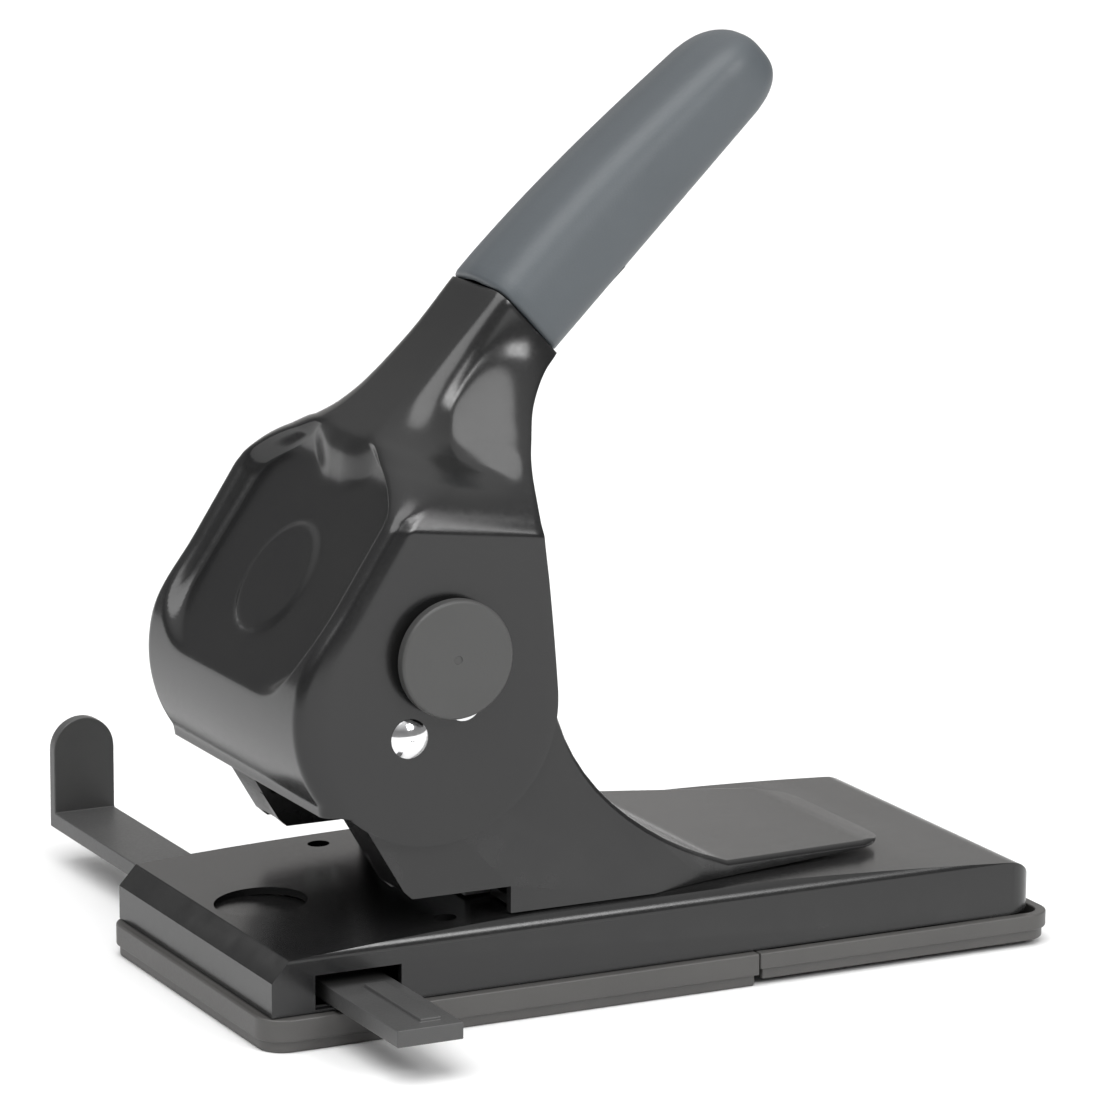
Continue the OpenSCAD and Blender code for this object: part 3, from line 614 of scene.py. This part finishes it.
def lever_shell():
    """The pressed steel lever: two round cheeks joined by the drum, the web and the neck."""
    rows = lever_sections()
    verts, faces = thicken(lever_layer(rows, 0.0), lever_layer(rows, SHEET), lever_faces(len(rows)))
    piece = add_mesh("lever_pressing", verts, faces, FINISHES["black_paint"])
    bevel(piece, 0.4, 2, 60.0)
    settle(piece, 50.0)
    stand_for(piece, "lever_shell")


# ---- grip ----------------------------------------------------------------------------------

GRIP_LENGTH = 99.9
GRIP_LOW = (14.0, 18.0)        # half depth and half width at the lower end
GRIP_HIGH = (11.0, 15.5)       # and where the round tip starts
GRIP_TAPER = GRIP_LENGTH - 12.0          # the length over which they change
GRIP_SQUARE = 2 / 3.1          # below 1, the grip's section is squarer than an ellipse
GRIP_CROWN = 2.2               # bulge of the grip's front half way up
GRIP_RIDGE = 0.7               # soft ridge down the middle of the front
RIDGE_HALF = 4.5
GRIP_SIDES = 96
GRIP_STEPS = 30
TIP_LENGTH = 15.0
TIP_STEPS = 24
TIP_ROUND = 0.62               # below 1, the tip is blunter than a ball
# (distance along, share of full size): the eased rim, and the bore that takes the steel core
GRIP_RIM = [(0.0, 0.955), (0.5, 0.985), (1.3, 1.0)]
GRIP_BORE = [(0.0, 0.86), (3.0, 0.84), (GRIP_LENGTH - 30.0, 0.8)]


def rounded(value, size):
    """One coordinate of a rounded rectangle of this half size, from that of a unit circle."""
    return math.copysign(abs(value) ** GRIP_SQUARE, value) * size


def grip_ring(along, share):
    """One closed ring of points round the grip, at a distance along the handle."""
    t = clamp(along / GRIP_TAPER)
    deep, wide = (mix(a, b, t) for a, b in zip(GRIP_LOW, GRIP_HIGH))
    bulge = GRIP_CROWN * math.sin(math.pi * clamp(along / GRIP_LENGTH) ** 0.8)
    ring = []
    for i in range(GRIP_SIDES):
        a = 2 * math.pi * i / GRIP_SIDES
        out = rounded(math.cos(a), deep)
        y = rounded(math.sin(a), wide)
        if out > 0:
            out += (bulge + GRIP_RIDGE * math.exp(-(y / RIDGE_HALF) ** 2)) * out / deep
        place = on_handle(along, out * share)
        ring.append(at(place.x, y * share, place.y))
    return ring


def grip_body():
    """The moulded plastic sleeve: a soft ridge along its front, a round tip, an open lower end."""
    tip_start = GRIP_LENGTH - TIP_LENGTH
    outside = list(GRIP_RIM)
    outside += [(mix(GRIP_RIM[-1][0], tip_start, i / GRIP_STEPS), 1.0)
                for i in range(1, GRIP_STEPS + 1)]
    for i in range(1, TIP_STEPS + 1):
        turn = math.radians(90 * i / TIP_STEPS)
        outside.append((tip_start + TIP_LENGTH * math.sin(turn),
                        max(math.cos(turn) ** TIP_ROUND, 0.02)))
    rings = GRIP_BORE[::-1] + outside
    verts = [point for along, share in rings for point in grip_ring(along, share)]
    faces = []
    for r in range(len(rings) - 1):
        for c in range(GRIP_SIDES):
            n = (c + 1) % GRIP_SIDES
            faces.append((r * GRIP_SIDES + c, r * GRIP_SIDES + n,
                          (r + 1) * GRIP_SIDES + n, (r + 1) * GRIP_SIDES + c))
    faces.append(tuple(range(len(verts) - GRIP_SIDES, len(verts))))
    faces.append(tuple(range(GRIP_SIDES))[::-1])
    piece = add_mesh("grip_sleeve", verts, faces, FINISHES["grip_plastic"])
    settle(piece, 50.0)
    stand_for(piece, "grip")


# ---- springs -------------------------------------------------------------------------------

SPRING_WIRE = 1.2
SPRING_TURNS = 6.5
SPRING_STEPS = 40              # rings of wire in a turn
WIRE_SIDES = 12
SPRING_EASE = 0.7              # how close the end turns lie: 0 gives an even helix


def return_springs():
    """Both return springs: round wire wound in a helix whose end turns lie close."""
    low, high = (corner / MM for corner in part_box("return_springs"))
    middle = high.y - (high.x - low.x) / 2
    radius = (high.x - low.x - SPRING_WIRE) / 2
    lift = high.z - low.z - SPRING_WIRE
    rings = int(SPRING_TURNS * SPRING_STEPS)
    verts = []
    faces = []
    for side in (-1, 1):
        first = len(verts)
        for i in range(rings + 1):
            t = i / rings
            turn = 2 * math.pi * i / SPRING_STEPS
            rise = low.z + SPRING_WIRE / 2 + lift * mix(t, smooth(t), SPRING_EASE)
            for k in range(WIRE_SIDES):
                b = 2 * math.pi * k / WIRE_SIDES
                reach = radius + SPRING_WIRE / 2 * math.cos(b)
                verts.append(at(reach * math.cos(turn), side * middle + reach * math.sin(turn),
                                rise + SPRING_WIRE / 2 * math.sin(b)))
        for i in range(rings):
            for k in range(WIRE_SIDES):
                n = (k + 1) % WIRE_SIDES
                a = first + i * WIRE_SIDES
                faces.append((a + k, a + WIRE_SIDES + k, a + WIRE_SIDES + n, a + n))
        faces.append(tuple(first + k for k in range(WIRE_SIDES)))
        faces.append(tuple(first + rings * WIRE_SIDES + k for k in range(WIRE_SIDES))[::-1])
    piece = add_mesh("spring_coils", verts, faces, FINISHES["spring_steel"])
    settle(piece, 50.0)
    stand_for(piece, "return_springs")
    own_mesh(piece)


# ---- frame ---------------------------------------------------------------------------------

TONGUE_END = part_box("frame")[1].x / MM
TONGUE_ROUND = 6.0             # radius of the tongue's corners
FOLD_ROUND = 1.5
FOLD_START = 27.0              # the fold lies behind this, from the line of holes
FOLD_ABOVE = 1.2               # and this far above the plate
# half width of the frame behind its cheeks, by distance from the line of holes
FRAME_PLAN = [(58.0, 47.5), (76.0, 42.5), (131.0, 32.0), (140.0, 26.0)]


def frame_back(p):
    """Whether a point lies on the outer fold between the frame's cheeks and its back."""
    x = p.x - HOLE_LINE
    outside = abs(p.y) > through(FRAME_PLAN, x) - 0.3
    return x > FOLD_START and outside and p.z > PLATE_TOP + FOLD_ABOVE


def tongue_corner(p):
    """Whether a point lies on a corner of the tongue's end."""
    return p.x > TONGUE_END - 1.5 and abs(p.y) > 15.0


def upright_frame():
    """The frame, with the corners of its tongue and its outer folds rounded."""
    work = clean_copy("frame")
    round_edges(work, tongue_corner, TONGUE_ROUND, 8)
    round_edges(work, frame_back, FOLD_ROUND, 4)
    break_edges(work, "frame", "frame_rounded", 0.3, 2)


# ---- camera, light and floor ---------------------------------------------------------------

CAMERA_PLACE = (-0.6620, -1.2872, 0.4309)
CAMERA_ROUND = math.radians(-26.86)      # turned about the upright axis
CAMERA_DOWN = math.radians(12.454)       # looking down
CAMERA_ROLL = math.radians(0.34)
BACKDROP = (0.452, 0.892, 0.1)           # towards the backdrop
BACKDROP_EDGE = (0.8, 0.94)              # it fades in between these cosines of that direction
BACKDROP_TONE = (0.62, 0.61, 0.6)
WALLS = [(0.0, 0.3), (0.35, 0.22), (0.7, 0.7), (1.0, 1.0)]      # (height, brightness)
FLOOR_HALF = 9.0
FLOOR_BELOW = 0.0001                     # keeps the floor off the punch's underside


def camera():
    data = bpy.data.cameras.new("camera")
    data.sensor_width = 36.0
    data.lens = 180.0
    data.clip_end = 20.0
    piece = bpy.data.objects.new("camera", data)
    turn = (Matrix.Rotation(CAMERA_ROUND, 4, "Z")
            @ Matrix.Rotation(math.radians(90) - CAMERA_DOWN, 4, "X")
            @ Matrix.Rotation(CAMERA_ROLL, 4, "Z"))
    piece.matrix_world = Matrix.Translation(CAMERA_PLACE) @ turn
    scene.collection.objects.link(piece)
    scene.camera = piece


def sky(tree, out):
    """A studio that is bright overhead, dim at the walls and has a pale backdrop behind the
    punch; the camera itself sees it pale all round."""
    place = tree.nodes.new("ShaderNodeTexCoord").outputs["Generated"]
    facing = tree.nodes.new("ShaderNodeVectorMath")
    facing.operation = "DOT_PRODUCT"
    facing.inputs[1].default_value = BACKDROP
    tree.links.new(place, facing.inputs[0])
    split = tree.nodes.new("ShaderNodeSeparateXYZ")
    tree.links.new(place, split.inputs["Vector"])
    height = remap(tree, split.outputs["Z"], 0.0, 1.0, 0.0, 1.0)
    walls = ramp(tree, height, [(stop, grey(level)) for stop, level in WALLS])
    behind = remap(tree, facing.outputs["Value"], 0.0, 1.0, *BACKDROP_EDGE)
    tones = mix_colours(tree, behind, walls, BACKDROP_TONE)
    seen = tree.nodes.new("ShaderNodeLightPath").outputs["Is Camera Ray"]
    tree.links.new(mix_colours(tree, seen, tones, grey(0.95)), out)


def add_light(name, kind, energy, direction):
    data = bpy.data.lights.new(name, kind)
    data.energy = energy
    piece = bpy.data.objects.new(name, data)
    piece.rotation_euler = Vector(direction).to_track_quat("-Z", "Y").to_euler()
    scene.collection.objects.link(piece)
    return piece


def overhead_light():
    """A very soft light from above."""
    piece = add_light("overhead", "SUN", 2.3, (0.35, 0.3, -1.0))
    piece.data.angle = math.radians(55.0)


def softbox():
    """A wide soft light in front, aimed at the middle of the punch."""
    place = Vector((0.7, -1.9, 1.3))
    aim = Vector((0.0, 0.0, 0.1))
    piece = add_light("front", "AREA", 22.0, aim - place)
    piece.location = place
    piece.data.shape = "RECTANGLE"
    piece.data.size = 0.9
    piece.data.size_y = 0.7


def pale_floor():
    half = FLOOR_HALF
    corners = [(-half, -half, 0), (half, -half, 0), (half, half, 0), (-half, half, 0)]
    tones = [grey(0.88), grey(0.9)]
    floor = add_mesh("floor", corners, [(0, 1, 2, 3)],
                     finish("floor", tones, (0.6, 0.7), drift=3.0, grain=60.0))
    floor.location.z = -FLOOR_BELOW


def studio():
    world = bpy.data.worlds.new("studio")
    world.use_nodes = True
    sky(world.node_tree, world.node_tree.nodes["Background"].inputs["Color"])
    scene.world = world
    scene.view_settings.view_transform = "Standard"
    overhead_light()
    softbox()
    pale_floor()


# ---- the whole -----------------------------------------------------------------------------

camera()
studio()
for name, node in frame["nodes"].items():
    node.data.materials.clear()
    node.data.materials.append(FINISHES[NODE_SLOT[name]])
lever_shell()
grip_body()
return_springs()
eased("base_plate")
upright_frame()
for name in ("chip_tray", "rear_base"):
    eased(name, 0.9, 3)
for name in ("guide_bar", "cap_near", "cap_far"):
    eased(name)
